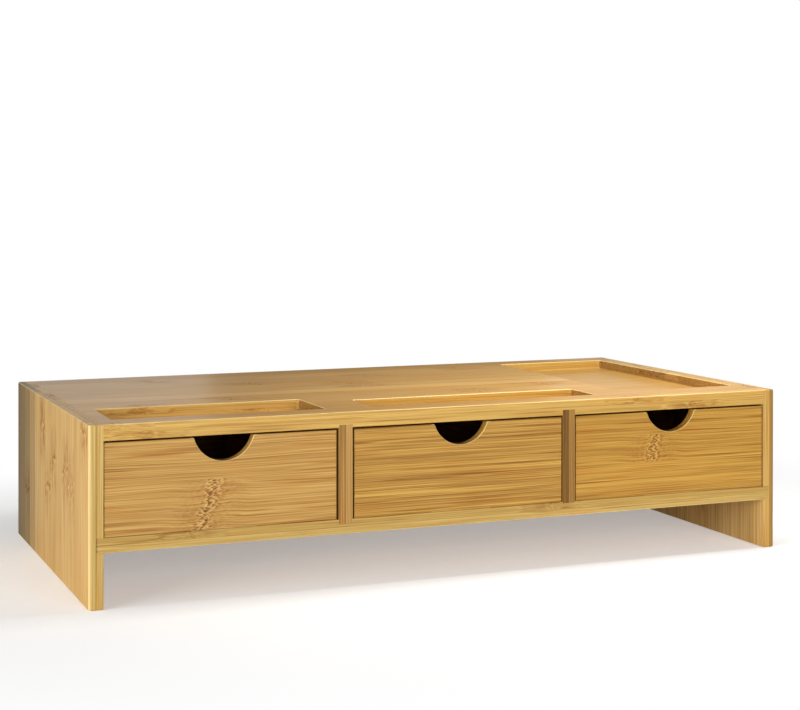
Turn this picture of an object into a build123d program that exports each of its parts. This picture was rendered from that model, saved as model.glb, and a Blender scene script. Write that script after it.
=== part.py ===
"""Monitor stand of glued bamboo boards with three drawers, modelled board by board.

Lengths are millimetres. X runs along the stand's width, the drawers face -Y and Z is up.
The origin lies on the desk, in the middle of the footprint.
"""

from build123d import *
import os

os.makedirs("parts", exist_ok=True)

# The whole stand
stand_width = 530.0
stand_depth = 255.0
stand_height = 120.0

# Boards of the case
side_thickness = 10.0
top_thickness = 10.7
shelf_thickness = 10.0
divider_thickness = 10.0
back_thickness = 10.0
shelf_underside = 36.5
shelf_housing_depth = 5.0
upright_round = 2.5
top_edge_round = 1.0
foot_chamfer = 0.6
shelf_edge_chamfer = 0.5

# How far each divider is let into the shelf below it and the top board above it
left_divider_let_down = 3.0
right_divider_let_down = 0.8
divider_let_up = 2.0
right_tenon_height = 3.8
right_tenon_length = 18.0

# Pockets routed into the top board: ends along X, then edges measured back from the front
pocket_depth = 7.0
pocket_corner_radius = 3.0
pocket_rim_chamfer = 0.5
pen_slot = ((-244.5, -93.5), (20.5, 75.0))
centre_slot = ((-59.5, 121.5), (21.5, 58.0))
corner_tray = ((150.0, 249.5), (33.0, 233.5))

# Blind dowels that hold the butt joints of the case
dowel_radius = 3.0
dowel_length = 20.0
dowel_in_side = 6.5
dowel_end_gap = 0.5
dowel_glue_gap = 0.05
left_top_dowels = (12.0, 100.0, 170.0, 244.0)
right_top_dowels = (12.0, 244.0)
back_dowel_heights = (15.0, 47.0)

# Drawers
drawer_names = ("left", "middle", "right")
drawer_shifts = (-0.55, 0.5, 0.1)
front_width = 161.5
front_thickness = 6.5
front_top_gap = 1.3
front_inset = 0.5
front_edge_round = 0.7
front_rebate_depth = 3.5
notch_shifts = (0.5, 0.4, -0.4)
notch_depths = (16.2, 15.2, 15.3)
notch_radius = 21.3
notch_corner_round = 1.0
box_width = 160.0
box_height = 52.0
box_wall = 6.5
box_edge_round = 0.8
box_stop_gap = 0.5
back_rebate_depth = 3.5
bottom_thickness = 3.0
bottom_height = 5.0
bottom_in_groove = 2.5
groove_gap = 0.3

# Places worked out from the sizes above
front = -stand_depth / 2
rear = stand_depth / 2
inner_half = stand_width / 2 - side_thickness
shelf_top = shelf_underside + shelf_thickness
top_underside = stand_height - top_thickness
pocket_floor = stand_height - pocket_depth
back_face = rear - back_thickness
opening_width = (2 * inner_half - 2 * divider_thickness) / 3
cell_pitch = opening_width + divider_thickness
divider_centre = cell_pitch / 2
drawer_face = front + front_inset
drawer_rear = back_face - box_stop_gap
front_top = top_underside - front_top_gap
past = 1.0


def board(x, y, z):
    """A plain board between two places along each axis."""
    low = [min(span) for span in (x, y, z)]
    high = [max(span) for span in (x, y, z)]
    size = [b - a for a, b in zip(low, high)]
    middle = [(a + b) / 2 for a, b in zip(low, high)]
    return Pos(*middle) * Box(*size)


def edges_at(edges, axis, place):
    """The edges whose middle lies at one place along an axis."""
    return edges.filter_by_position(axis, place - 0.01, place + 0.01)


def rod(x, y, z, radius):
    """A round rod along X between two places."""
    middle = Pos((x[0] + x[1]) / 2, y, z)
    return middle * Rot(0, 90, 0) * Cylinder(radius, abs(x[1] - x[0]))


def side_joints(hand, y, z):
    """Dowel and hole of one butt joint between a side board and the end of another board."""
    joint_face = hand * inner_half
    in_side = joint_face + hand * dowel_in_side
    in_board = in_side - hand * dowel_length
    hole = rod((in_side + hand * dowel_end_gap, in_board - hand * dowel_end_gap), y, z, dowel_radius)
    dowel = rod((in_side, in_board), y, z, dowel_radius - dowel_glue_gap)
    return hole, dowel


def top_joints(hand):
    """Places of the dowels between one side board and the top board."""
    places = left_top_dowels if hand < 0 else right_top_dowels
    height = stand_height - top_thickness / 2
    return [side_joints(hand, front + place, height) for place in places]


def back_joints(hand):
    """Places of the dowels between one side board and the back panel."""
    middle = rear - back_thickness / 2
    return [side_joints(hand, middle, shelf_top + place) for place in back_dowel_heights]


def side_panel(hand):
    """An upright end board with the shelf's housing; hand is -1 on the left, 1 on the right."""
    outer = hand * stand_width / 2
    inner = hand * inner_half
    panel = board((outer, inner), (front, rear), (0, stand_height))
    panel = fillet(edges_at(panel.edges().filter_by(Axis.Z), Axis.X, outer), upright_round)
    rim = edges_at(panel.edges(), Axis.Z, stand_height)
    panel = fillet(rim - edges_at(rim, Axis.X, inner), top_edge_round)
    panel = chamfer(edges_at(panel.edges(), Axis.Z, 0), foot_chamfer)
    housing_end = inner + hand * shelf_housing_depth
    panel -= board((inner - hand * past, housing_end), (front - past, rear + past),
                   (shelf_underside, shelf_top))
    for hole, _ in top_joints(hand) + back_joints(hand):
        panel -= hole
    return panel


def pocket(ends, edges):
    """The space that the router clears for one pocket, corners rounded in plan."""
    length = ends[1] - ends[0]
    breadth = edges[1] - edges[0]
    outline = RectangleRounded(length, breadth, pocket_corner_radius)
    middle = Pos(sum(ends) / 2, front + sum(edges) / 2, pocket_floor)
    return middle * extrude(outline, pocket_depth + past)


def divider_board(hand):
    """One partition between drawers, let into the shelf and the top board."""
    low = shelf_top - (left_divider_let_down if hand < 0 else right_divider_let_down)
    centre = hand * divider_centre
    across = (centre - divider_thickness / 2, centre + divider_thickness / 2)
    partition = board(across, (front, back_face), (low, top_underside + divider_let_up))
    if hand > 0:
        partition += board(across, (front, front + right_tenon_length),
                           (low, top_underside + right_tenon_height))
    return partition


def top_board(dividers):
    """The top between the side boards, with its pockets and the grooves for the dividers."""
    top = board((-inner_half, inner_half), (front, rear), (top_underside, stand_height))
    long_edges = edges_at(top.edges().filter_by(Axis.X), Axis.Z, stand_height)
    top = fillet(long_edges, top_edge_round)
    for ends, edges in (pen_slot, centre_slot, corner_tray):
        top -= pocket(ends, edges)
    upper_face = edges_at(top.faces(), Axis.Z, stand_height).sort_by(SortBy.AREA)[-1]
    rims = [edge for wire in upper_face.inner_wires() for edge in wire.edges()]
    top = chamfer(rims, pocket_rim_chamfer)
    for divider in dividers:
        top -= divider
    for hand in (-1, 1):
        for hole, _ in top_joints(hand):
            top -= hole
    return top


def drawer_shelf(dividers):
    """The board that the drawers run on, housed in both side boards."""
    reach = inner_half + shelf_housing_depth
    shelf = board((-reach, reach), (front, rear), (shelf_underside, shelf_top))
    lower = edges_at(shelf.edges().filter_by(Axis.X), Axis.Z, shelf_underside)
    shelf = chamfer(lower, shelf_edge_chamfer)
    for divider in dividers:
        shelf -= divider
    return shelf


def back_panel():
    """The board that closes the case behind the drawers."""
    panel = board((-inner_half, inner_half), (back_face, rear), (shelf_top, top_underside))
    for hand in (-1, 1):
        for hole, _ in back_joints(hand):
            panel -= hole
    return panel


def drawer_front(centre, notch_shift, notch_depth):
    """The drawer's face board: finger notch, end rebates and the bottom's groove."""
    ends = (centre - front_width / 2, centre + front_width / 2)
    inside = drawer_face + front_thickness
    face = board(ends, (drawer_face, inside), (shelf_top, front_top))
    notch_axis = Pos(centre + notch_shift, drawer_face + front_thickness / 2,
                     front_top - notch_depth + notch_radius)
    face -= notch_axis * Rot(90, 0, 0) * Cylinder(notch_radius, front_thickness + 2 * past)
    upper = edges_at(face.edges().filter_by(Axis.Y), Axis.Z, front_top).sort_by(Axis.X)
    face = fillet(upper[1:-1], notch_corner_round)
    face = fillet(edges_at(face.edges(), Axis.Y, drawer_face), front_edge_round)
    for hand in (-1, 1):
        rebate_start = centre + hand * (box_width / 2 - box_wall)
        rebate_end = centre + hand * (front_width / 2 + past)
        face -= board((rebate_start, rebate_end), (drawer_face + front_rebate_depth, inside + past),
                      (shelf_top - past, front_top + past))
    return face - bottom_groove_across(centre, inside, -1)


def bottom_groove_across(centre, face, into):
    """The groove that takes the bottom panel in a board that runs along X."""
    floor = face + into * (bottom_in_groove + groove_gap)
    low = shelf_top + bottom_height
    return board((centre - box_width / 2, centre + box_width / 2), (face - into * past, floor),
                 (low, low + bottom_thickness))


def drawer_side(centre, hand):
    """One side of the drawer box: grooved for the bottom, rebated for the back."""
    outer = centre + hand * box_width / 2
    inner = outer - hand * box_wall
    start = drawer_face + front_rebate_depth
    low = shelf_top + bottom_height
    side = board((inner, outer), (start, drawer_rear), (shelf_top, shelf_top + box_height))
    upper = edges_at(side.edges().filter_by(Axis.Y), Axis.Z, shelf_top + box_height)
    side = fillet(upper, box_edge_round)
    groove_floor = inner + hand * (bottom_in_groove + groove_gap)
    side -= board((inner - hand * past, groove_floor), (start - past, drawer_rear + past),
                  (low, low + bottom_thickness))
    side -= board((inner - hand * past, inner + hand * back_rebate_depth),
                  (drawer_rear - box_wall, drawer_rear + past),
                  (shelf_top - past, shelf_top + box_height + past))
    return side


def drawer_back(centre):
    """The rear board of the drawer box, held in the rebates of the sides."""
    half = box_width / 2 - box_wall + back_rebate_depth
    face = drawer_rear - box_wall
    back = board((centre - half, centre + half), (face, drawer_rear),
                 (shelf_top, shelf_top + box_height))
    upper = edges_at(back.edges().filter_by(Axis.X), Axis.Z, shelf_top + box_height)
    back = fillet(edges_at(upper, Axis.Y, face), box_edge_round)
    return back - bottom_groove_across(centre, face, 1)


def drawer_bottom(centre):
    """The thin panel held all round in the grooves of the drawer's boards."""
    half = box_width / 2 - box_wall + bottom_in_groove
    low = shelf_top + bottom_height
    start = drawer_face + front_thickness - bottom_in_groove
    end = drawer_rear - box_wall + bottom_in_groove
    return board((centre - half, centre + half), (start, end), (low, low + bottom_thickness))


left_divider = divider_board(-1)
right_divider = divider_board(1)
dividers = (left_divider, right_divider)
pieces = {
    "left_side_panel": side_panel(-1),
    "right_side_panel": side_panel(1),
    "top_board": top_board(dividers),
    "drawer_shelf": drawer_shelf(dividers),
    "left_divider": left_divider,
    "right_divider": right_divider,
    "back_panel": back_panel(),
    "top_dowels": Compound([dowel for hand in (-1, 1) for _, dowel in top_joints(hand)]),
    "back_dowels": Compound([dowel for hand in (-1, 1) for _, dowel in back_joints(hand)]),
}
for index, name in enumerate(drawer_names):
    middle = (index - 1) * cell_pitch + drawer_shifts[index]
    pieces[name + "_drawer_front"] = drawer_front(middle, notch_shifts[index], notch_depths[index])
    pieces[name + "_drawer_left_side"] = drawer_side(middle, -1)
    pieces[name + "_drawer_right_side"] = drawer_side(middle, 1)
    pieces[name + "_drawer_back"] = drawer_back(middle)
    pieces[name + "_drawer_bottom"] = drawer_bottom(middle)

for name, piece in pieces.items():
    piece.label = name
    export_step(piece, os.path.join("parts", name + ".step"))
    size = piece.bounding_box().size
    print(f"{name}: {size.X:.1f} x {size.Y:.1f} x {size.Z:.1f} mm, {piece.volume / 1000:.1f} cm3")
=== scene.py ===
# %% [markdown]
# # A bamboo monitor stand with three drawers
#
# The stand is a low case of glued bamboo boards. Two side boards carry a top with routed
# pockets and a shelf, and three drawers slide between the shelf and the top. All its shapes
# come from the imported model, so this lesson is about what the boards are made of, and about
# the light and the camera. Every board keeps its own mesh and only receives a finish.

# %% Load the frame
import math
import random

import bpy
from mathutils import Matrix, Vector

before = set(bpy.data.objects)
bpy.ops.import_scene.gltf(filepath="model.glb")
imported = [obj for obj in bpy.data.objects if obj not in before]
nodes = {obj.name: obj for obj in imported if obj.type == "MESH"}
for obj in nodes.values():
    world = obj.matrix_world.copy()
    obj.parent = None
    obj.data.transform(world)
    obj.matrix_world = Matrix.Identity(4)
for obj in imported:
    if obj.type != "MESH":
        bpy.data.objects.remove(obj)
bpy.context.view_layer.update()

print("boards and groups of dowels:", len(nodes))

# %% [markdown]
# The view is that of a person sitting a little to the left of the stand, with a long lens.
# A camera could be aimed with a constraint, but its place and its three angles were fitted to
# the corners of the boards, so they are written down and turned into one matrix. The horizon
# lies above the middle of the picture, which a small shift of the lens gives without tilting
# the upright edges.

# %% Camera
PICTURE = (800, 710)
EYE = Vector((-0.49154, -1.15222, 0.27067))
YAW, PITCH, ROLL = 0.37201, 0.00523, 0.00081
LENS_IN_PIXELS = 1612.14
AXIS_PIXEL = (339.2, 200.0)
SENSOR_WIDTH = 36

ahead = Vector((math.sin(YAW) * math.cos(PITCH), math.cos(YAW) * math.cos(PITCH), -math.sin(PITCH)))
level = Vector((math.cos(YAW), -math.sin(YAW), 0))
rise = level.cross(ahead)
side = level * math.cos(ROLL) + rise * math.sin(ROLL)
head = rise * math.cos(ROLL) - level * math.sin(ROLL)

lens = bpy.data.cameras.new("camera")
lens.sensor_width = SENSOR_WIDTH
lens.lens = LENS_IN_PIXELS / PICTURE[0] * SENSOR_WIDTH
lens.shift_x = (PICTURE[0] / 2 - AXIS_PIXEL[0]) / PICTURE[0]
lens.shift_y = (AXIS_PIXEL[1] - PICTURE[1] / 2) / PICTURE[0]
camera = bpy.data.objects.new("camera", lens)
camera.matrix_world = Matrix.Translation(EYE) @ Matrix((side, head, -ahead)).transposed().to_4x4()
bpy.context.scene.collection.objects.link(camera)
bpy.context.scene.camera = camera
bpy.context.scene.view_settings.view_transform = "Standard"
print("lens in mm:", round(lens.lens, 1), "shift:", round(lens.shift_x, 3), round(lens.shift_y, 3))

# %% [markdown]
# A product like this is lit with large soft lamps, so that no hard shadow crosses the grain.
# A sky texture or one sun would be quicker, but softboxes show the rounded edges better. One
# stands in front, one at the left, and a small one hangs over the right end, which makes the
# top a little brighter there. Two weak panels behind are what the lacquer of the top mirrors.

# %% Lamps
# Each row holds a name, a place and the point it faces in m, width and height in m, and watts.
SOFTBOXES = [
    ("front_softbox", (0.15, -2.3, 0.5), (0, 0, 0.06), 1.6, 0.9, 24.5),
    ("left_softbox", (-2.2, -0.9, 0.45), (-0.1, 0, 0.06), 1.4, 0.8, 35),
    ("top_softbox", (0.2, -0.1, 0.42), (0.2, -0.1, 0.12), 0.4, 0.12, 1.5),
    ("rear_left_softbox", (0.1, 2.5, 0.5), (-0.1, 0, 0.12), 1.0, 0.7, 1.9),
    ("rear_right_softbox", (1.85, 2.4, 0.5), (0.2, 0, 0.12), 0.7, 0.6, 0.9),
]


def softbox(name, place, target, width, height, watts):
    """A rectangular lamp at one point that faces another."""
    light = bpy.data.lights.new(name, "AREA")
    light.shape = "RECTANGLE"
    light.size, light.size_y = width, height
    light.energy = watts
    lamp = bpy.data.objects.new(name, light)
    lamp.location = place
    lamp.rotation_euler = (Vector(target) - Vector(place)).to_track_quat("-Z", "Y").to_euler()
    bpy.context.scene.collection.objects.link(lamp)
    print(name, "at", place, watts, "W")


for row in SOFTBOXES:
    softbox(*row)

# %% [markdown]
# A node tree is easier to read when each small sum is one short call. These helpers add a
# node, join or fill its inputs, and return the socket that carries the answer. Colours are
# written as they look on a screen, from 0 to 255, and turned into the values that light uses.

# %% Colours, sockets and sums
def tint(red, green, blue):
    """A screen colour as the linear colour that a node expects."""
    parts = [c / 255 for c in (red, green, blue)]
    return [p / 12.92 if p <= 0.04045 else ((p + 0.055) / 1.055) ** 2.4 for p in parts] + [1.0]


def fill(tree, socket, value):
    """Joins a socket to another one, or writes a plain value into it."""
    if isinstance(value, bpy.types.NodeSocket):
        tree.links.new(value, socket)
    elif value is not None:
        socket.default_value = value


def calc(tree, operation, first, second=None, third=None):
    """One sum on numbers."""
    node = tree.nodes.new("ShaderNodeMath")
    node.operation = operation
    for socket, value in zip(node.inputs, (first, second, third)):
        fill(tree, socket, value)
    return node.outputs[0]


def move(tree, operation, first, second=None, third=None):
    """One sum on points. The length of a point is a number, and every other answer is a point."""
    node = tree.nodes.new("ShaderNodeVectorMath")
    node.operation = operation
    for socket, value in zip(node.inputs, (first, second, third)):
        fill(tree, socket, value)
    return node.outputs["Value" if operation == "LENGTH" else "Vector"]


print("a mid straw colour:", [round(c, 3) for c in tint(205, 160, 92)])

# %% [markdown]
# The next helpers take points apart and put them together, fade from one number to another,
# lay colours over each other, and make noise. Fibres need noise that is drawn out a long way
# in one direction. A mapping node could stretch it, but here each call says how long and how
# wide a typical streak is, in mm, so that the numbers can be read off a real board.

# %% Points, fades, colours and noise
def parts_of(tree, vector):
    """The three numbers of a point."""
    node = tree.nodes.new("ShaderNodeSeparateXYZ")
    fill(tree, node.inputs[0], vector)
    return node.outputs[0], node.outputs[1], node.outputs[2]


def point_of(tree, first, second, third):
    """A point of three numbers."""
    node = tree.nodes.new("ShaderNodeCombineXYZ")
    for socket, value in zip(node.inputs, (first, second, third)):
        fill(tree, socket, value)
    return node.outputs[0]


def ease(tree, value, low, high, start=0.0, end=1.0):
    """A soft step: start below low, end above high, and a smooth way between them."""
    node = tree.nodes.new("ShaderNodeMapRange")
    node.interpolation_type = "SMOOTHSTEP"
    numbers = {"Value": value, "From Min": low, "From Max": high, "To Min": start, "To Max": end}
    for title, number in numbers.items():
        fill(tree, node.inputs[title], number)
    return node.outputs["Result"]


def paint(tree, kind, share, under, over):
    """Lays one colour over another."""
    node = tree.nodes.new("ShaderNodeMix")
    node.data_type, node.blend_type = "RGBA", kind
    for socket, value in ((node.inputs[0], share), (node.inputs[6], under), (node.inputs[7], over)):
        fill(tree, socket, value)
    return node.outputs[2]


def grain_noise(tree, place, length, width, detail=2.0):
    """Noise drawn out along the fibres: length and width of a typical streak in mm."""
    node = tree.nodes.new("ShaderNodeTexNoise")
    scaled = move(tree, "MULTIPLY", place, (1 / length, 1 / width, 1 / width))
    fill(tree, node.inputs["Vector"], scaled)
    node.inputs["Scale"].default_value = 1.0
    node.inputs["Detail"].default_value = detail
    return node.outputs["Fac"]


print("noise for streaks of 320 x 2.6 mm is scaled by", [round(v, 4) for v in (1 / 320, 1 / 2.6)])

# %% [markdown]
# A bamboo board is built from strips of split cane, 20 mm wide and 5 mm thick, glued side by
# side, and two such layers are glued back to back with their joints staggered. Each strip has
# its own tone and its own knots, where the cane had its joints. The group below says for any
# point which strip it is in, how far it is from the strip's middle line, and how dark the glue
# is there. An image texture would need a picture for every board, and this works at any size.

# %% Which strip is it
STRIP = 20.0
SIDE_GLUE, LAYER_GLUE = 0.3, 0.8
GLUE_FADE = 0.35


def new_group(name, wanted, given):
    """An empty node group with named inputs and outputs."""
    group = bpy.data.node_groups.new(name, "ShaderNodeTree")
    for title, kind in wanted:
        group.interface.new_socket(title, in_out="INPUT", socket_type="NodeSocket" + kind)
    for title, kind in given:
        group.interface.new_socket(title, in_out="OUTPUT", socket_type="NodeSocket" + kind)
    return group, group.nodes.new("NodeGroupInput").outputs, group.nodes.new("NodeGroupOutput").inputs


def make_strip_finder():
    """Place in mm (along, across, through) to the strip's number, the place in it, and glue."""
    wanted = [("Place", "Vector"), ("Strips", "Float")]
    given = [("Strip", "Float"), ("Aside", "Float"), ("Joint", "Float")]
    tree, wanted, given = new_group("strip_finder", wanted, given)
    across, through = parts_of(tree, wanted["Place"])[1:]
    outer = calc(tree, "GREATER_THAN", through, 0.0)
    inner = calc(tree, "SUBTRACT", 1.0, outer)
    staggered = calc(tree, "MULTIPLY_ADD", inner, STRIP / 2, across)
    counted = calc(tree, "DIVIDE", staggered, STRIP)
    number = calc(tree, "FLOOR", counted)
    fill(tree, given["Strip"], calc(tree, "MULTIPLY_ADD", inner, wanted["Strips"], number))
    aside = calc(tree, "MULTIPLY_ADD", calc(tree, "SUBTRACT", counted, number), STRIP, -STRIP / 2)
    fill(tree, given["Aside"], aside)
    to_edge = calc(tree, "SUBTRACT", STRIP / 2, calc(tree, "ABSOLUTE", aside))
    side_joint = ease(tree, to_edge, 0.05, GLUE_FADE, SIDE_GLUE, 0.0)
    layer_joint = ease(tree, calc(tree, "ABSOLUTE", through), 0.08, GLUE_FADE, LAYER_GLUE, 0.0)
    fill(tree, given["Joint"], calc(tree, "MAXIMUM", side_joint, layer_joint))
    return tree


strip_finder = make_strip_finder()
print(strip_finder.name, "has", len(strip_finder.nodes), "nodes")

# %% [markdown]
# The strips of one layer of a board are a short list, from its first long edge: where a knot
# lies along the strip in mm, how light the strip is, how warm, and how far it is from one knot
# to the next. All of them could be left to chance, but then no knot would be where the real
# board has it. So strips that the camera sees well are given one by one, and the rest are drawn
# from a seeded die, which makes them the same each time.

# %% The strips of a board
OFF_BOARD, FAR_APART = 400, 900


def plain_strip(light, warm):
    """A strip whose knots all lie beyond the ends of the board."""
    return (OFF_BOARD, light, warm, FAR_APART)


def knotty_strip(knot_at, light, warm, gap=300):
    """A strip with a knot at a place along it, and others a gap away."""
    return (knot_at, light, warm, gap)


def toned(strips, lighter, warmer):
    """The same strips with another tone."""
    return [(knot_at, lighter * light, warm + warmer, gap) for knot_at, light, warm, gap in strips]


def any_strips(seed, count, first=()):
    """Strips of chance, the same at each run. The first few can be given."""
    die = random.Random(seed)
    drawn = []
    for _ in range(count):
        knot_at, light, warm = die.uniform(-150, 150), die.uniform(0.93, 1.07), die.uniform(-0.5, 0.5)
        drawn.append((knot_at, light, warm, die.uniform(250, 340)))
    return list(first) + drawn[len(first):]


print("three strips of chance:", [[round(v, 2) for v in strip] for strip in any_strips("shelf", 3)])

# %% [markdown]
# A material has to hold such a list and find one strip in it. A chain of mixes would take a
# node for each strip. A colour ramp with hard steps holds the whole list in one node, with the
# four numbers of a strip in the red, green, blue and alpha of its step.

# %% Strips in a material
RAMP_LENGTH = 1000


def strip_ramp(tree, strips, number):
    """A ramp with one hard step for each strip, read at a strip's number."""
    node = tree.nodes.new("ShaderNodeValToRGB")
    ramp = node.color_ramp
    ramp.interpolation = "CONSTANT"
    while len(ramp.elements) < len(strips):
        ramp.elements.new(0.5)
    for spot, (element, (knot_at, light, warm, gap)) in enumerate(zip(ramp.elements, strips)):
        element.position = spot / len(strips)
        element.color = (knot_at / RAMP_LENGTH + 0.5, light / 2, warm / 2 + 0.5, gap / RAMP_LENGTH)
    fill(tree, node.inputs[0], calc(tree, "DIVIDE", calc(tree, "ADD", number, 0.5), float(len(strips))))
    return node.outputs["Color"], node.outputs["Alpha"]


def read_ramp(tree, colour, alpha):
    """Knot, lightness, warmth and gap again, from the colour and alpha of the ramp."""
    split = tree.nodes.new("ShaderNodeSeparateColor")
    fill(tree, split.inputs[0], colour)
    knot_at = calc(tree, "MULTIPLY_ADD", split.outputs[0], RAMP_LENGTH, -RAMP_LENGTH / 2)
    light = calc(tree, "MULTIPLY", split.outputs[1], 2.0)
    warm = calc(tree, "MULTIPLY_ADD", split.outputs[2], 2.0, -1.0)
    return knot_at, light, warm, calc(tree, "MULTIPLY", alpha, RAMP_LENGTH)


print("a full channel of the ramp stands for", RAMP_LENGTH, "mm")

# %% [markdown]
# A knot is the ring that every joint of the cane leaves across a strip. It isn't quite square
# to the strip, and its edge is ragged. A painted mark would look stuck on, so the distance
# from the ring drives three bands instead: a core on the ring, a band near it where the fibres
# part, and a faint halo. The fibres also bow away from the ring, which a shift across gives.

# %% The bands round a knot
SLANT = 0.22
RAGGED, BOW, WOBBLE = 8.0, 0.12, 4.0
CORE, NEAR, HALO = (0.6, 3.2), (2.5, 8.0), (5.0, 30.0)


def knot(tree, place, aside, knot_at, gap):
    """Three bands round the nearest knot of the strip, and how far the fibres swerve there."""
    along = parts_of(tree, place)[0]
    slanted = calc(tree, "MULTIPLY_ADD", aside, SLANT, calc(tree, "SUBTRACT", along, knot_at))
    steps = calc(tree, "DIVIDE", slanted, gap)
    nearest = calc(tree, "SUBTRACT", steps, calc(tree, "ROUND", steps))
    rough = calc(tree, "SUBTRACT", grain_noise(tree, place, 25, 2.4), 0.5)
    offset = calc(tree, "MULTIPLY_ADD", nearest, gap, calc(tree, "MULTIPLY", rough, RAGGED))
    distance = calc(tree, "ABSOLUTE", offset)
    core, near, halo = [ease(tree, distance, *reach, 1.0, 0.0) for reach in (CORE, NEAR, HALO)]
    bow = calc(tree, "MULTIPLY", calc(tree, "MULTIPLY", halo, offset), BOW)
    tremble = calc(tree, "SUBTRACT", grain_noise(tree, place, 12, 4.0), 0.5)
    swerve = calc(tree, "MULTIPLY_ADD", calc(tree, "MULTIPLY", near, tremble), WOBBLE, bow)
    return core, near, halo, swerve


print("a knot reaches", HALO[1], "mm along the strip on each side")

# %% [markdown]
# Where the fibres part at a knot, the plane cuts them into small overlapping arcs like fish
# scales, dark on one side and pale on the other. Drawing each one is out of the question. The
# cells of a Voronoi texture, drawn out along the strip, lie like scales: a point knows how far
# it is from the middle of its cell, and a bowed step over that gives the two sides.

# %% The scales at a knot
SMALL_SCALES = (1 / 3.8, 1 / 0.95, 1 / 0.95)
LARGE_SCALES = (1 / 6.5, 1 / 2.2, 1 / 2.2)
BOWED = 0.7
SCALE_STEP = (-0.35, 0.55)


def scales(tree, run, size):
    """Small overlapping arcs: 0 on the dark side of each, 1 on its pale side."""
    cells = tree.nodes.new("ShaderNodeTexVoronoi")
    spread = move(tree, "MULTIPLY", run, size)
    fill(tree, cells.inputs["Vector"], spread)
    cells.inputs["Scale"].default_value = 1.0
    along, across = parts_of(tree, move(tree, "SUBTRACT", spread, cells.outputs["Position"]))[:2]
    bowed = calc(tree, "MULTIPLY_ADD", calc(tree, "ABSOLUTE", across), BOWED, along)
    return ease(tree, bowed, *SCALE_STEP)


print("length of the scales in mm:", [round(1 / size[0], 1) for size in (SMALL_SCALES, LARGE_SCALES)])

# %% [markdown]
# Between the knots the cane is a bundle of straight fibres. On the face they show as streaks
# up to three mm wide, with fine lines between them that taper off after a few cm. Wood
# textures with rings would be wrong here, because cane has no rings. Noise that is drawn out
# along the fibres gives the streaks. The thin lines lie where one more noise crosses its
# middle value, and another one breaks them up.

# %% The fibres
STREAKS = ((320, 2.6), (170, 0.9), (60, 0.5))
STREAK_STEP = (0.32, 0.68)
DRIFT = 3.0
LINE_WIDTH = 0.085
PATCHES = (0.42, 0.62)


def fibres(tree, place, swerve):
    """The place bent along the fibres, streaks of three widths, and thin dark lines from 0 to 1."""
    along, across, through = parts_of(tree, place)
    drift = calc(tree, "SUBTRACT", grain_noise(tree, place, 160, 30, 1), 0.5)
    bent = calc(tree, "ADD", calc(tree, "MULTIPLY_ADD", drift, DRIFT, across), swerve)
    run = point_of(tree, along, bent, through)
    streaks = [ease(tree, grain_noise(tree, run, *size, 1), *STREAK_STEP) for size in STREAKS]
    from_middle = calc(tree, "SUBTRACT", grain_noise(tree, run, 340, 1.5, 0), 0.5)
    line = ease(tree, calc(tree, "ABSOLUTE", from_middle), 0.0, LINE_WIDTH, 1.0, 0.0)
    tapered = ease(tree, grain_noise(tree, run, 60, 1.6, 1), *PATCHES)
    line = calc(tree, "MULTIPLY", line, tapered)
    return run, streaks, line


print("streaks, length and width in mm:", STREAKS)

# %% [markdown]
# The colour of cane runs from pale straw to honey brown. A single flat colour with some noise
# on it would look like plastic, so the three streaks choose between the two colours, each with
# its own share. Patches of a faint warm blush lie over that, and the thin lines are browner.

# %% The colour of the cane
STREAK_SHARES = (0.16, 0.44, 0.40)
BLUSH_SHARE, BLUSH_PATCHES = 0.6, (0.5, 0.75)
BLUSH, LINE_BROWN = tint(255, 238, 220), tint(206, 172, 126)


def cane_colour(tree, wanted, own, streaks, line):
    """Pale and deep cane in streaks, with blush and thin lines."""
    tone = calc(tree, "MULTIPLY", streaks[2], STREAK_SHARES[2])
    tone = calc(tree, "MULTIPLY_ADD", streaks[1], STREAK_SHARES[1], tone)
    tone = calc(tree, "MULTIPLY_ADD", streaks[0], STREAK_SHARES[0], tone)
    colour = paint(tree, "MIX", tone, wanted["Deep"], wanted["Pale"])
    blush = ease(tree, grain_noise(tree, own, 45, 7, 1), *BLUSH_PATCHES)
    colour = paint(tree, "MULTIPLY", calc(tree, "MULTIPLY", blush, BLUSH_SHARE), colour, BLUSH)
    return paint(tree, "MULTIPLY", calc(tree, "MULTIPLY", line, wanted["Lines"]), colour, LINE_BROWN)


print("shares of the broad, middle and fine streaks:", STREAK_SHARES)

# %% [markdown]
# At a knot the cane is stained in ragged flecks as far as the halo goes. The scales lie over
# that, mostly near the ring, and the dark side of each is darkest on the ring itself. On a
# narrow face the knot is cut the other way, and little of it shows.

# %% The colour of a knot
STAIN_BROWN, RING_BROWN = tint(206, 170, 126), tint(168, 122, 74)
SCALE_SHADE, SCALE_LIGHT = tint(200, 164, 120), tint(68, 58, 41)
NEAR_SHARE, HALO_SHARE, RING_SHARE = 0.62, 0.16, 0.55
HIDDEN_ON_EDGE = 0.75


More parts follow.
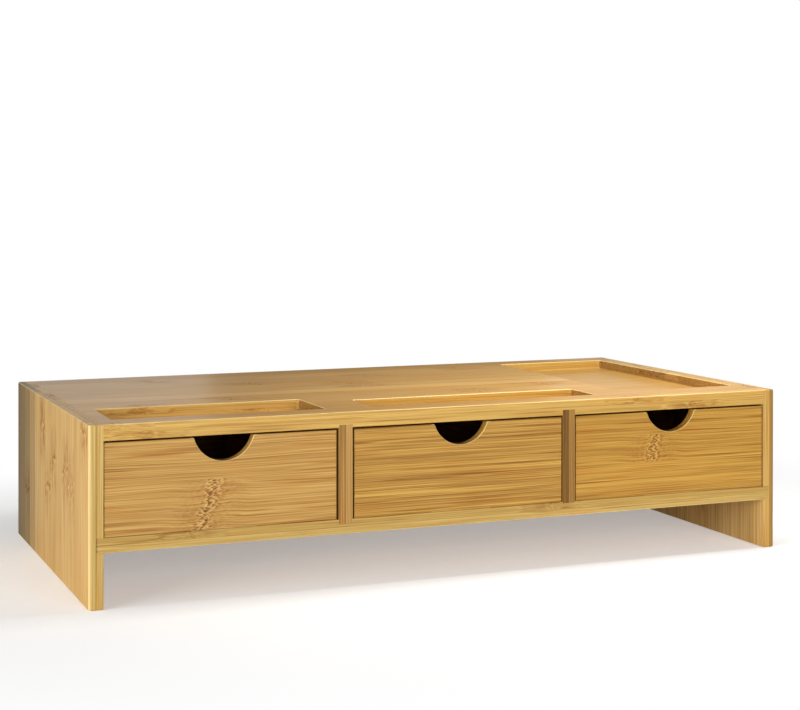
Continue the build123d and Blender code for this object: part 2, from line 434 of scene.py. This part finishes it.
def knot_colour(tree, wanted, colour, run, core, near, halo):
    """The colour with the knots on it, and how much of a scale's pale side shows."""
    broadside = calc(tree, "MULTIPLY_ADD", wanted["On edge"], -HIDDEN_ON_EDGE, 1.0)
    broadside = calc(tree, "MULTIPLY", broadside, wanted["Scales"])
    arcs = scales(tree, run, wanted["Scale size"])
    dark_side = calc(tree, "SUBTRACT", 1.0, arcs)
    arc_colour = paint(tree, "MIX", arcs, wanted["Deep"], wanted["Pale"])
    arc_colour = paint(tree, "MULTIPLY", dark_side, arc_colour, SCALE_SHADE)
    arc_colour = paint(tree, "SCREEN", arcs, arc_colour, SCALE_LIGHT)
    stain = calc(tree, "MULTIPLY", halo, ease(tree, grain_noise(tree, run, 20, 2.2, 2), *PATCHES))
    stain = calc(tree, "MULTIPLY", stain, wanted["Stain"])
    colour = paint(tree, "MULTIPLY", stain, colour, STAIN_BROWN)
    shown = calc(tree, "MULTIPLY_ADD", near, NEAR_SHARE, calc(tree, "MULTIPLY", halo, HALO_SHARE))
    shown = calc(tree, "MULTIPLY", shown, broadside)
    colour = paint(tree, "MIX", shown, colour, arc_colour)
    on_ring = calc(tree, "MULTIPLY", dark_side, calc(tree, "MULTIPLY", core, broadside))
    colour = paint(tree, "MULTIPLY", calc(tree, "MULTIPLY", on_ring, RING_SHARE), colour, RING_BROWN)
    return colour, calc(tree, "MULTIPLY", shown, arcs)


print("share of the scales near the ring:", NEAR_SHARE, "and in the halo:", HALO_SHARE)

# %% [markdown]
# Each strip is lighter or darker and warmer or cooler than the next. The narrow faces of a
# board show the strips on edge, in another tone. The end grain is dotted, because the cut
# fibres drink the lacquer, and glue shows as brown lines. The rounded edges get a painted
# highlight, a paler colour where they would catch the light. Separate materials for these
# places would show seams, so masks mix them in here.

# %% Strip tones, ends, glue and edge highlights
UNCHANGED = (1.0, 1.0, 1.0)
# The last colour here is the painted highlight laid over rounded edges.
FIBRE_DOTS, GLUE_BROWN, HIGHLIGHT_PALE = tint(150, 108, 64), tint(150, 112, 70), tint(200, 174, 120)
DOTS_PER_MM, DOT_EDGE = 1.4, (0.2, 0.5)
WARM_LOSES_GREEN, WARM_LOSES_BLUE = 0.07, 0.25
GLUE_SHARE = 0.6


def strip_tone(tree, wanted, colour, light, warm):
    """Gives a strip its own tone, and a narrow face its tint."""
    green = calc(tree, "MULTIPLY", light, calc(tree, "MULTIPLY_ADD", warm, -WARM_LOSES_GREEN, 1.0))
    blue = calc(tree, "MULTIPLY", light, calc(tree, "MULTIPLY_ADD", warm, -WARM_LOSES_BLUE, 1.0))
    colour = move(tree, "MULTIPLY", colour, point_of(tree, light, green, blue))
    change = move(tree, "SUBTRACT", wanted["Narrow"], UNCHANGED)
    on_edge = point_of(tree, wanted["On edge"], wanted["On edge"], wanted["On edge"])
    return move(tree, "MULTIPLY", colour, move(tree, "MULTIPLY_ADD", on_edge, change, UNCHANGED))


def ends_and_edges(tree, wanted, colour, own):
    """Adds dotted end grain, brown glue lines, and a painted highlight on rounded edges."""
    dots = tree.nodes.new("ShaderNodeTexVoronoi")
    fill(tree, dots.inputs["Vector"], own)
    dots.inputs["Scale"].default_value = DOTS_PER_MM
    dotted = ease(tree, dots.outputs["Distance"], *DOT_EDGE, 1.0, 0.0)
    ends = paint(tree, "MULTIPLY", dotted, colour, FIBRE_DOTS)
    ends = paint(tree, "MULTIPLY", 1.0, ends, wanted["Ends"])
    colour = paint(tree, "MIX", calc(tree, "MULTIPLY", wanted["End"], wanted["End depth"]), colour, ends)
    glue = calc(tree, "MULTIPLY", wanted["Joint"], GLUE_SHARE)
    colour = paint(tree, "MULTIPLY", glue, colour, GLUE_BROWN)
    # Painted highlight: rounded edges are screened paler, as if they caught the light.
    paler = paint(tree, "SCREEN", 1.0, colour, HIGHLIGHT_PALE)
    return paint(tree, "MIX", wanted["Edge highlight"], colour, paler)


print("fibre ends lie about", round(1 / DOTS_PER_MM, 1), "mm apart")

# %% [markdown]
# Cane that is planed and lacquered is satin, with the thinnest relief: streaks stand up a
# little, the thin lines and the joints are fine grooves, and the pale side of each scale is
# raised. One texture could drive everything, but then gloss and relief would follow the colour
# of a strip. So roughness and relief are made from the same streaks, apart from the colour.

# %% Roughness and relief
SATIN = 0.38
ROUGHER = {"streaks": 0.08, "knots": 0.08, "ends": 0.12}
HEIGHT = {"middle": 0.02, "fine": 0.008, "lines": 0.03, "scales": 0.04, "joints": 0.04}


def gloss_and_relief(tree, wanted, streaks, line, near, raised):
    """Roughness from 0 to 1, and a height for the bump."""
    rough = calc(tree, "MULTIPLY_ADD", streaks[1], ROUGHER["streaks"], SATIN)
    rough = calc(tree, "MULTIPLY_ADD", near, ROUGHER["knots"], rough)
    rough = calc(tree, "MULTIPLY_ADD", wanted["End"], ROUGHER["ends"], rough)
    relief = calc(tree, "MULTIPLY", streaks[2], HEIGHT["fine"])
    relief = calc(tree, "MULTIPLY_ADD", streaks[1], HEIGHT["middle"], relief)
    relief = calc(tree, "SUBTRACT", relief, calc(tree, "MULTIPLY", line, HEIGHT["lines"]))
    relief = calc(tree, "MULTIPLY_ADD", raised, HEIGHT["scales"], relief)
    return rough, calc(tree, "SUBTRACT", relief, calc(tree, "MULTIPLY", wanted["Joint"], HEIGHT["joints"]))


print("roughness of the smoothest cane:", SATIN)

# %% [markdown]
# The steps above become one node group. Each material could repeat all these nodes, but with a
# group all boards share them and differ only in what goes in. A strip's own colour also shifts
# the place that its noise is read at, so no two strips repeat each other.

# %% The bamboo group
BAMBOO_WANTS = {
    "Vector": ("Place", "Narrow", "Scale size"),
    "Color": ("Strip colour", "Pale", "Deep", "Ends"),
    "Float": ("Gap", "Aside", "Joint", "End", "End depth", "On edge", "Edge highlight", "Lines", "Scales", "Stain"),
}
STRIP_SHIFT = (700.0, 90.0, 50.0)


def make_bamboo():
    """Place and strip to colour, roughness and relief."""
    wanted = [(title, kind) for kind, titles in BAMBOO_WANTS.items() for title in titles]
    given = [("Colour", "Color"), ("Roughness", "Float"), ("Relief", "Float")]
    tree, wanted, given = new_group("bamboo", wanted, given)
    knot_at, light, warm, gap = read_ramp(tree, wanted["Strip colour"], wanted["Gap"])
    own = move(tree, "MULTIPLY_ADD", wanted["Strip colour"], STRIP_SHIFT, wanted["Place"])
    core, near, halo, swerve = knot(tree, wanted["Place"], wanted["Aside"], knot_at, gap)
    run, streaks, line = fibres(tree, own, swerve)
    colour = cane_colour(tree, wanted, own, streaks, line)
    colour, raised = knot_colour(tree, wanted, colour, run, core, near, halo)
    colour = strip_tone(tree, wanted, colour, light, warm)
    fill(tree, given["Colour"], ends_and_edges(tree, wanted, colour, own))
    rough, relief = gloss_and_relief(tree, wanted, streaks, line, near, raised)
    fill(tree, given["Roughness"], rough)
    fill(tree, given["Relief"], relief)
    return tree


bamboo = make_bamboo()
print(bamboo.name, "has", len(bamboo.nodes), "nodes")

# %% [markdown]
# Now a point has to know where it is on its board. Object coordinates are turned so that the
# first runs along the fibres, the second across the strips and the third through the
# thickness, in mm. The normal tells end grain from long grain, a narrow face from a broad one,
# and an eased edge from a flat. Unwrapping every board would do the same with far more work.

# %% Where a point is on its board
SQUARE_ON = (0.6, 0.85)
SLANTING, BESIDE_FACE = (0.82, 0.985), (0.1, 0.35)


def place_on_board(tree, directions, start):
    """Place in mm along, across and through the board, and how squarely a face looks each way."""
    where = tree.nodes.new("ShaderNodeTexCoord")
    spot = parts_of(tree, where.outputs["Object"])
    facing = parts_of(tree, where.outputs["Normal"])
    turned, sizes, squarely = [], [], []
    for sign, axis in zip(directions[::2], directions[1::2]):
        number = "xyz".index(axis)
        turned.append(spot[number])
        sizes.append(1000.0 if sign == "+" else -1000.0)
        squarely.append(calc(tree, "ABSOLUTE", facing[number]))
    place = move(tree, "MULTIPLY_ADD", point_of(tree, *turned), sizes, [-s for s in start])
    return place, squarely


def face_kinds(tree, squarely, highlight_strength):
    """How far a point is on end grain, on a narrow face, and how much painted highlight a rounded edge gets.
    """
    along, across, through = squarely
    end = ease(tree, along, *SQUARE_ON)
    on_edge = ease(tree, across, *SQUARE_ON)
    largest = calc(tree, "MAXIMUM", calc(tree, "MAXIMUM", along, across), through)
    slanting = ease(tree, largest, *SLANTING, highlight_strength, 0.0)
    beside_face = ease(tree, through, *BESIDE_FACE)
    return end, on_edge, calc(tree, "MULTIPLY", slanting, beside_face)


print("a face counts as square on up to", round(math.degrees(math.acos(SQUARE_ON[1]))), "degrees off")

# %% [markdown]
# Two places are finished apart. The rim of a drawer front's finger notch gets a painted
# highlight, and the notch's inner face is kept lighter than the other edges of the front, which
# carry painted shade. And where the end of a board meets another in the same plane, a dark line
# of painted shade shows in the joint. Both depend only on the distance along the board, so no
# extra piece is needed.

# %% Notches and shaded end joints
NOTCH_REACH = (22.0, 24.0)
# Width in mm of the painted shade line where the end of a board meets another.
END_SHADE = (0.8, 1.1)
NOTCH_SHADE_LIFT = 0.7


def notch_highlight(tree, along, notch_at, end, on_edge, highlight_mask):
    """Keeps the painted highlight to the notch rim, and lifts most of the painted shade and end-grain tint
    off the notch's inner face.
    """
    from_notch = calc(tree, "ABSOLUTE", calc(tree, "SUBTRACT", along, notch_at))
    at_notch = ease(tree, from_notch, *NOTCH_REACH, 1.0, 0.0)
    # Near the notch most of the painted shade on the edges is lifted, and the painted highlight stays only
    # there.
    away_from_notch = calc(tree, "MULTIPLY_ADD", at_notch, -NOTCH_SHADE_LIFT, 1.0)
    highlight_mask = calc(tree, "MULTIPLY", highlight_mask, at_notch)
    return calc(tree, "MULTIPLY", end, away_from_notch), calc(tree, "MULTIPLY", on_edge, away_from_notch), highlight_mask


def joint_shade_line(tree, along, joint, cut_at):
    """Paints a dark line of shade into the joint at the end where a board starts, cut_at mm along."""
    solid, gone = END_SHADE
    return calc(tree, "MAXIMUM", joint, ease(tree, along, cut_at + solid, cut_at + gone, 1.0, 0.0))


# The painted highlight and the lifted shade reach this far from the middle of a notch.
print("a notch is sanded as far as", NOTCH_REACH[0], "mm from its middle")

# %% [markdown]
# The lacquer is thin and satin. A second layer of mesh over the wood would be wrong for a film
# of a few hundredths of a mm, and the Principled shader has a clear coat for this. What is the
# same all over a board, such as the roughness of the coat, is set on the shader itself.

# %% The lacquer
COAT_ROUGHNESS = 0.2
BUMP_DISTANCE = 0.001


def add_group(tree, group, values):
    """Puts a node group into a tree and fills its inputs."""
    node = tree.nodes.new("ShaderNodeGroup")
    node.node_tree = group
    for title, value in values.items():
        fill(tree, node.inputs[title], value)
    return node.outputs


def lacquer(tree, skin, gloss, coat):
    """Joins colour, roughness and relief to the shader, under a clear coat."""
    shader = tree.nodes["Principled BSDF"].inputs
    bump = tree.nodes.new("ShaderNodeBump")
    bump.inputs["Distance"].default_value = BUMP_DISTANCE
    fill(tree, bump.inputs["Height"], skin["Relief"])
    fill(tree, shader["Base Color"], skin["Colour"])
    fill(tree, shader["Roughness"], skin["Roughness"])
    fill(tree, shader["Normal"], bump.outputs["Normal"])
    shader["Specular IOR Level"].default_value = gloss
    shader["Coat Roughness"].default_value = COAT_ROUGHNESS
    fill(tree, shader["Coat Weight"], coat)


print("coat roughness:", COAT_ROUGHNESS, "bump in mm:", 1000 * BUMP_DISTANCE)

# %% [markdown]
# With these a board can be dressed in one call. Boards differ in their strips, in two tones
# and in a look: the tint of narrow faces, how strong lines, scales and stains are, how large
# the scales, and the end grain. Each board could list all of it, but a plain look is written
# once, and a board says only what is different on it.

# %% Dress one board
PLAIN_LOOK = {"Narrow": (1.1, 1.15, 1.2), "Lines": 0.7, "Scale size": SMALL_SCALES, "Scales": 1.0,
              "Stain": 0.5, "End depth": 1.0, "Ends": tint(230, 222, 208)}


def board_finish(name, directions, start, strips, tones, look=None, gloss=0.2, coat=0.05, coated_ends=0.0,
                 glue=1.0, cut_at=None, highlight_strength=0.85, notch_at=None):
    """A bamboo material. Directions such as "-x+y+z" name the frame axes along, across and through
    the board. They count in mm from start: the middle, the first strip's edge and the layer joint."""
    material = bpy.data.materials.new(name)
    material.use_nodes = True
    tree = material.node_tree
    outer, inner = strips
    place, squarely = place_on_board(tree, directions, start)
    along = parts_of(tree, place)[0]
    finder = add_group(tree, strip_finder, {"Place": place, "Strips": float(len(outer))})
    strip_colour, gap = strip_ramp(tree, outer + inner, finder["Strip"])
    # The strength of the painted highlight on rounded edges is set for each board.
    end, on_edge, highlight_mask = face_kinds(tree, squarely, highlight_strength)
    joint = calc(tree, "MULTIPLY", finder["Joint"], glue)
    if notch_at is not None:
        end, on_edge, highlight_mask = notch_highlight(tree, along, notch_at, end, on_edge, highlight_mask)
    if cut_at is not None:
        # Painted shade: a dark line in the joint where the board starts.
        joint = joint_shade_line(tree, along, joint, cut_at)
    values = {"Place": place, "Strip colour": strip_colour, "Gap": gap, "Pale": tones[0], "Deep": tones[1],
              "Aside": finder["Aside"], "Joint": joint, "End": end, "On edge": on_edge, "Edge highlight": highlight_mask}
    skin = add_group(tree, bamboo, {**values, **PLAIN_LOOK, **(look or {})})
    lacquer(tree, skin, gloss, calc(tree, "MULTIPLY", end, coated_ends) if coated_ends else coat)
    return material


def dress(node_name, material):
    """Gives a CAD node its finish."""
    mesh = nodes[node_name].data
    mesh.materials.clear()
    mesh.materials.append(material)


print("what a board looks like if nothing else is said:", list(PLAIN_LOOK))

# %% [markdown]
# The side boards stand with their fibres upright. The left one is seen from outside, so its
# fourteen strips are written down one by one, from front to rear, with their knots at the
# heights where they are on the real board; the last ones are darker, partly as darker cane and
# partly as painted shade on the rear of the board. The right board shows only its front edge and
# a little of its inner face, both a bit darker, and the darker inner face is painted shade.

# %% Side boards
SIDE_TONES = (tint(235, 195, 124), tint(192, 151, 88))
SIDE_FIRST_STRIP = -144.3  # mm, in front of the board, so that only a part of this strip is left
SIDE_LOOK = {"Scale size": LARGE_SCALES, "Scales": 0.65, "Stain": 1.0, "End depth": 0.2}
SIDE_LACQUER = {"gloss": 0.1, "coated_ends": 0.2}

left_outer = [
    plain_strip(0.98, -0.2), knotty_strip(115, 1.12, -0.1), plain_strip(1.04, 0.0),
    knotty_strip(70, 1.08, -0.1), knotty_strip(80, 1.08, -0.2), plain_strip(1.04, -0.1),
    knotty_strip(80, 0.98, 0.1), knotty_strip(59, 1.0, 0.0), knotty_strip(98, 0.94, 0.1),
    # The last strips are darker: partly darker cane, partly painted shade on the rear of the board.
    plain_strip(0.92, -0.2), plain_strip(0.67, -0.3), knotty_strip(42, 0.46, -0.6),
    plain_strip(0.36, -1.0), plain_strip(0.30, -1.0),
]
left_inner = any_strips("left", 15, [plain_strip(1.0, 0.0), plain_strip(0.96, 0.1)])
left_look = {**SIDE_LOOK, "Narrow": (0.85, 0.9, 0.81)}
left_finish = board_finish("left_side_bamboo", "+z+y-x", (0, SIDE_FIRST_STRIP, 260), (left_outer, left_inner),
                           SIDE_TONES, left_look, **SIDE_LACQUER)
dress("left_side_panel", left_finish)

right_outer = any_strips("right out", 14, [plain_strip(0.63, 0.6)])
right_inner = any_strips("right in", 15, [plain_strip(0.95, 0.0), plain_strip(0.95, 0.0)])
# Painted shade: the inner face behind its first two strips is darker and cooler.
right_inner[2:] = toned(right_inner[2:], 0.86, -0.4)
right_look = {**SIDE_LOOK, "Narrow": (0.92, 0.88, 0.69)}
# This board gets a weaker painted highlight on its rounded edges.
right_finish = board_finish("right_side_bamboo", "+z+y+x", (0, SIDE_FIRST_STRIP, 260.6),
                            (right_outer, right_inner), SIDE_TONES, right_look, highlight_strength=0.3, **SIDE_LACQUER)
dress("right_side_panel", right_finish)
print("strips of the left side board:", len(left_outer))

# %% [markdown]
# The top is one wide board with its fibres from left to right. Its front edge shows both
# layers, each with two knots, and the walls of the routed pockets cut through strips as well.
# One lighter strip crosses the end wall of the corner tray, and a darker one holds its rear
# wall, painted shade like the slightly darker and cooler strips of the rear half of the top. The
# floors of the pockets lie in the lower layer, and the tray's has no knots.

# %% Top board
TOP_TONES = (tint(222, 176, 96), tint(186, 138, 68))
FIRST_STRIP = -140  # mm, in front of the board here too

top_outer = any_strips("top", 14, [knotty_strip(142.5, 1.05, 0.0, 388), plain_strip(0.95, 0.5),
                                   plain_strip(0.95, 0.4), plain_strip(1.06, 0.4)])
top_outer[6] = plain_strip(1.15, -0.6)
# Painted shade: the rear half of the top is a little darker and cooler.
top_outer[7:] = toned(top_outer[7:], 0.94, -0.2)
# Painted shade: the strip that holds the tray's rear wall is darker.
top_outer[12] = plain_strip(0.86, 0.4)
top_inner = any_strips("top low", 15, [plain_strip(1.0, 0.0), knotty_strip(190.2, 1.0, 0.1, 415),
                                       knotty_strip(-170, 0.99, 0.1, FAR_APART), plain_strip(1.0, 0.0),
                                       knotty_strip(-120, 1.1, 0.1, FAR_APART)])
top_inner[5:13] = [plain_strip(0.99 + 0.02 * (number % 2), 0.0) for number in range(8)]
top_look = {"Narrow": (0.99, 1.07, 1.03), "Scales": 0.7, "Stain": 0.7, "Ends": tint(216, 214, 209)}
top_finish = board_finish("top_bamboo", "+x+y+z", (0, FIRST_STRIP, 114.65), (top_outer, top_inner), TOP_TONES,
                          top_look, gloss=0.15, coat=0.2, glue=0.45)
dress("top_board", top_finish)
print("strips of the top:", len(top_outer))

# %% [markdown]
# The drawer shelf and the back panel are plain boards. The left end of the shelf shows in the
# front edge of the side board that it is let into, with a dark line of painted shade in the
# joint. No one sees the back panel from the front, so all its strips come from the die.

# %% Shelf and back
UPRIGHT_FIRST_STRIP = 40  # mm above the desk, for boards that stand on their long edge

shelf_outer = any_strips("shelf", 14, [knotty_strip(72.1, 0.93, 0.2, 268)])
shelf_inner = any_strips("shelf low", 15, [plain_strip(1.0, 0.0), plain_strip(1.03, -0.3)])
# cut_at paints a dark line of shade into the joint at the left end of the shelf.
shelf_finish = board_finish("shelf_bamboo", "+x+y+z", (0, FIRST_STRIP, 41.5), (shelf_outer, shelf_inner),
                            TOP_TONES, {"Narrow": (0.86, 0.98, 1.03)}, glue=0.45, cut_at=-260)
dress("drawer_shelf", shelf_finish)
back_strips = (any_strips("back", 4), any_strips("back in", 5))
back_finish = board_finish("back_bamboo", "+x+z+y", (0, UPRIGHT_FIRST_STRIP, 122.5), back_strips, TOP_TONES)
dress("back_panel", back_finish)
print("strips of the shelf:", len(shelf_outer), "and of the back panel:", len(back_strips[0]))

# %% [markdown]
# The two dividers are browner cane and stand with their fibres upright. While the drawers are
# closed only their front edges show, each with its two layers side by side. The left layer is
# the browner one, and the right divider is the darkest board of all. One finish for both would
# be simpler, but on the real stand they clearly differ.

# %% Dividers
# Each row holds the middle in mm, the pale and the deep tone, and the strip of the left layer.
dividers = {
    "left": (-86.67, (tint(197, 154, 86), tint(142, 104, 48)), plain_strip(0.93, 0.6)),
    "right": (86.67, (tint(175, 130, 62), tint(108, 73, 29)), plain_strip(0.68, 0.9)),
}
for hand, (middle, tones, left_layer) in dividers.items():
    right_strips = any_strips(hand, 14, [plain_strip(1.06, -0.2)])
    left_strips = any_strips(hand + "2", 15, [left_layer, left_layer])
    finish = board_finish(hand + "_divider_bamboo", "+z+y+x", (0, FIRST_STRIP, middle),
                          (right_strips, left_strips), tones, {"Narrow": UNCHANGED, "Lines": 1.0})
    dress(hand + "_divider", finish)
print("dividers:", list(dividers))

# %% [markdown]
# A drawer front is cut from a board of three or four strips that lie flat. The eye rests on
# these three, so each has its own list: the left one has a knot that crosses two strips, the
# right one a knot in its second strip, and the middle one has none. The lists start a few mm
# above the front, because the board was trimmed through a strip. The edges that are turned to
# the gaps are darkened with painted shade, and only the rim of the finger notch gets a painted
# highlight.

# %% Drawer fronts
FRONT_LEVEL = 107.5  # mm, just below the upper edge of a front
# The narrow faces of a front are much darker: painted shade in the gaps round a drawer.
FRONT_LOOK = {"Narrow": (0.55, 0.5, 0.44), "Lines": 0.9}
# Each row holds where the first strip starts, in mm, negative above that level, and the strips.
front_strips = {
    "left": (-12.8, [plain_strip(1.0, 0.1), plain_strip(0.99, 0.1),
                     knotty_strip(-181.4, 1.03, -0.1, FAR_APART), knotty_strip(-188, 1.01, -0.1, FAR_APART)]),
    "middle": (-8, [plain_strip(1.02, -0.1), plain_strip(1.0, 0.0),
                    plain_strip(0.98, 0.0), plain_strip(1.0, 0.0)]),
    "right": (-3.7, [plain_strip(1.0, 0.0), knotty_strip(158, 1.01, 0.0, FAR_APART),
                     plain_strip(0.99, 0.1), plain_strip(0.97, 0.0)]),
}
front_tones = {
    "left": (tint(212, 170, 95), tint(165, 119, 55)),
    "middle": (tint(214, 169, 81), tint(148, 102, 38)),
    "right": (tint(212, 164, 74), tint(160, 113, 40)),
}
notch_places = {"left": -173.4, "middle": 0.9, "right": 173.0}
for place, (above, outer) in front_strips.items():
    finish = board_finish(place + "_front_bamboo", "+x-z-y", (0, above - FRONT_LEVEL, 120.2),
                          (outer, any_strips(place, 5)), front_tones[place], FRONT_LOOK,
                          notch_at=notch_places[place])
    dress(place + "_drawer_front", finish)
    print(place, "front:", len(outer), "strips, notch at", notch_places[place], "mm")

# %% [markdown]
# The boxes behind the fronts are of paler cane with hardly any lacquer. They show when a
# drawer is pulled out, and through the finger notches. Each board gets strips that run along
# its length, as a maker would cut it. The boards are thin, and where they count from keeps the
# joint between two layers out of their broad faces.

# %% Drawer boxes
BOX_TONES = (tint(220, 180, 116), tint(190, 146, 86))
drawer_middles = {"left": -173.88, "middle": 0.5, "right": 173.43}


def box_finish(name, directions, start, outer, inner):
    """Pale cane without a coat."""
    return board_finish(name, directions, start, (outer, inner), BOX_TONES, coat=0.0)


for place, middle in drawer_middles.items():
    sides = box_finish(place + "_box_bamboo", "+y+z+x", (0, UPRIGHT_FIRST_STRIP, middle),
                       any_strips(place + "s", 5), any_strips(place + "t", 5))
    dress(place + "_drawer_left_side", sides)
    dress(place + "_drawer_right_side", sides)
    back = box_finish(place + "_box_back_bamboo", "+x+z+y", (0, UPRIGHT_FIRST_STRIP, 113.7),
                      any_strips(place + "u", 5), any_strips(place + "v", 5))
    dress(place + "_drawer_back", back)
    bottom = box_finish(place + "_box_floor_bamboo", "+x+y+z", (0, FIRST_STRIP, 40),
                        any_strips(place + "w", 14), any_strips(place + "x", 15))
    dress(place + "_drawer_bottom", bottom)
    print(place, "box dressed, its middle at", middle, "mm")

# %% [markdown]
# The dowels are beech, hidden in the joints. They get the same finish with hardly any lines,
# so that a cut-away view of the stand still looks like wood.

# %% Dowels
DOWEL_TONES = (tint(214, 178, 130), tint(190, 150, 100))
dowel_strips = (any_strips("dowel", 14), any_strips("dowel2", 15))
dowel_finish = board_finish("dowel_beech", "+x+y+z", (0, FIRST_STRIP, -10), dowel_strips, DOWEL_TONES,
                            {"Lines": 0.2}, coat=0.0)
for name in ("top_dowels", "back_dowels"):
    dress(name, dowel_finish)
print("dressed nodes:", sum(1 for n in nodes.values() if n.data.materials))

# %% [markdown]
# The stand is on a plain pale sweep. A studio would roll out paper and curve it up behind. One
# large flat sheet does as well here, because it turns into the white of the background away
# from the stand. It lies a hair below the feet, so that the two don't share a plane.

# %% Floor
REACH = 12.0
GAP_UNDER_FEET = 0.0002

floor_mesh = bpy.data.meshes.new("floor")
floor_corners = [(-REACH, -REACH, 0), (REACH, -REACH, 0), (REACH, REACH, 0), (-REACH, REACH, 0)]
floor_mesh.from_pydata(floor_corners, [], [(0, 1, 2, 3)])
floor = bpy.data.objects.new("floor", floor_mesh)
floor.location.z = -GAP_UNDER_FEET
bpy.context.scene.collection.objects.link(floor)
print("floor at", floor.location.z, "m")

# %% [markdown]
# Near the stand the floor is matt, so that it takes the shadow, with a faint haze of its own
# that only the camera sees. From the edge of the stand outwards it fades to plain white, for
# the camera only, so that no horizon line shows and no extra light falls on the boards.

# %% Finish of the floor
FLOOR_GREY = (0.93, 0.93, 0.93, 1)
FOOTPRINT = (0.265, 0.1275, 10.0)
FADE_TO_WHITE = 0.3
HAZE = 0.32

sweep = bpy.data.materials.new("pale_sweep")
sweep.use_nodes = True
tree = sweep.node_tree
tree.nodes.remove(tree.nodes["Principled BSDF"])
seen = tree.nodes.new("ShaderNodeLightPath").outputs["Is Camera Ray"]
matt = tree.nodes.new("ShaderNodeBsdfDiffuse")
matt.inputs["Color"].default_value = FLOOR_GREY
haze = tree.nodes.new("ShaderNodeEmission")
fill(tree, haze.inputs["Strength"], calc(tree, "MULTIPLY", seen, HAZE))
near_floor = tree.nodes.new("ShaderNodeAddShader")
fill(tree, near_floor.inputs[0], matt.outputs[0])
fill(tree, near_floor.inputs[1], haze.outputs[0])

spot = tree.nodes.new("ShaderNodeTexCoord").outputs["Object"]
beyond = move(tree, "SUBTRACT", move(tree, "ABSOLUTE", spot), FOOTPRINT)
distance = move(tree, "LENGTH", move(tree, "MAXIMUM", beyond, (0.0, 0.0, 0.0)))
far = ease(tree, distance, 0.0, FADE_TO_WHITE)
white = tree.nodes.new("ShaderNodeEmission")
mix = tree.nodes.new("ShaderNodeMixShader")
fill(tree, mix.inputs[0], calc(tree, "MULTIPLY", far, seen))
fill(tree, mix.inputs[1], near_floor.outputs[0])
fill(tree, mix.inputs[2], white.outputs[0])
fill(tree, tree.nodes["Material Output"].inputs["Surface"], mix.outputs[0])
floor_mesh.materials.append(sweep)
print("the floor is white from", FADE_TO_WHITE, "m beyond the stand")

# %% [markdown]
# The room gives a weak even light from all sides, which lifts the shadows, and it looks white
# to the camera. An image of a real room would light the boards unevenly, and put its own
# colours into the lacquer.

# %% Background
ROOM_LIGHT = 0.2
WHITE = (1, 1, 1, 1)

world = bpy.data.worlds.new("studio")
bpy.context.scene.world = world
world.use_nodes = True
tree = world.node_tree
room = tree.nodes["Background"].inputs
room["Color"].default_value = WHITE
seen = tree.nodes.new("ShaderNodeLightPath").outputs["Is Camera Ray"]
fill(tree, room["Strength"], calc(tree, "MULTIPLY_ADD", seen, 1 - ROOM_LIGHT, ROOM_LIGHT))
print("light of the room:", ROOM_LIGHT)
